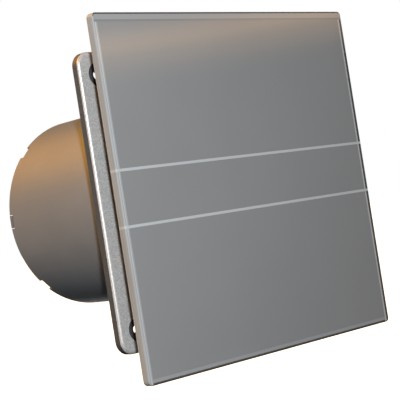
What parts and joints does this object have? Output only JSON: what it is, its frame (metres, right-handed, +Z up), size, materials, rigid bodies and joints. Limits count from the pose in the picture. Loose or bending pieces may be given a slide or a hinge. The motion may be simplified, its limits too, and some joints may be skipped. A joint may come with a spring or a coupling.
{
  "type": "extractor fan",
  "caption": "Square glass-fronted bathroom extractor fan with a round duct spigot, axial impeller, shaded-pole motor and back-draught flaps.",
  "frame": {"origin": "centre of the duct spigot in the plane of the wall face", "axes": "+Y along the duct into the wall, +Z up, +X to the right seen from the room"},
  "size_m": [0.158, 0.13, 0.158],
  "materials": {
    "grey_glass": "gloss, painted grey on the back",
    "carrier_plastic": "fine moulded grain",
    "foam_tape": "matt foam",
    "silver_paint": "silver metallic paint, satin",
    "housing_plastic": "satin moulded plastic",
    "dark_plastic": "satin moulded plastic",
    "zinc_steel": "zinc plated",
    "lamination_steel": "stacked sheet edges",
    "copper": "bare copper",
    "bobbin_nylon": "natural nylon",
    "enamelled_wire": "enamelled copper wire",
    "die_cast": "die-cast",
    "sintered_bronze": "sintered, oiled",
    "lead_insulation": "insulated wire",
    "terminal_nylon": "nylon",
    "brass": "turned",
    "grommet_rubber": "matt rubber",
    "damper_plastic": "satin moulded plastic",
    "shaft_steel": "ground steel",
    "spring_steel": "spring wire",
    "rotor_aluminium": "cast bars in a ground core",
    "impeller_plastic": "satin moulded plastic",
    "flap_plastic": "satin moulded plastic"
  },
  "bodies": {
    "fan_body": {"front_frame": "silver_paint", "mounting_plate": "housing_plastic", "duct_spigot": "housing_plastic", "motor_support": "dark_plastic", "support_screws": "zinc_steel", "motor_cover": "dark_plastic", "stator_laminations": "lamination_steel", "shading_rings": "copper", "bobbin": "bobbin_nylon", "coil_winding": "enamelled_wire", "front_bracket": "die_cast", "rear_bracket": "die_cast", "bearing_bushes": "sintered_bronze", "motor_screws": "zinc_steel", "motor_leads": "lead_insulation", "terminal_block": "terminal_nylon", "terminal_inserts": "brass", "terminal_screws": "zinc_steel", "terminal_cover": "housing_plastic", "cover_screw": "zinc_steel", "cable_clamp": "terminal_nylon", "clamp_screws": "zinc_steel", "cable_grommet": "grommet_rubber", "damper_ring": "damper_plastic", "damper_pin": "shaft_steel", "damper_spring": "spring_steel"},
    "front_panel": {"glass_panel": "grey_glass", "panel_carrier": "carrier_plastic", "adhesive_pads": "foam_tape"},
    "rotor": {"rotor_core": "rotor_aluminium", "rotor_shaft": "shaft_steel", "thrust_washers": "bobbin_nylon", "impeller": "impeller_plastic", "impeller_nut": "brass"},
    "left_flap": {"left_flap": "flap_plastic"},
    "right_flap": {"right_flap": "flap_plastic"}
  },
  "joints": [
    {"name": "panel_pull", "type": "slide", "parent": "fan_body", "child": "front_panel", "axis": [0, -1, 0], "range_m": [0, 0.03]},
    {"name": "rotor_spin", "type": "hinge", "parent": "fan_body", "child": "rotor", "pos_m": [0, 0, 0], "axis": [0, 1, 0], "continuous": true},
    {"name": "left_flap_swing", "type": "hinge", "parent": "fan_body", "child": "left_flap", "pos_m": [0, 0.0912, 0], "axis": [0, 0, -1], "range_deg": [0, 70], "stiffness_Nm_per_rad": 0.001, "springref_deg": -5.73},
    {"name": "right_flap_swing", "type": "hinge", "parent": "fan_body", "child": "right_flap", "pos_m": [0, 0.0912, 0], "axis": [0, 0, 1], "range_deg": [0, 70], "stiffness_Nm_per_rad": 0.001, "springref_deg": -5.73}
  ]
}
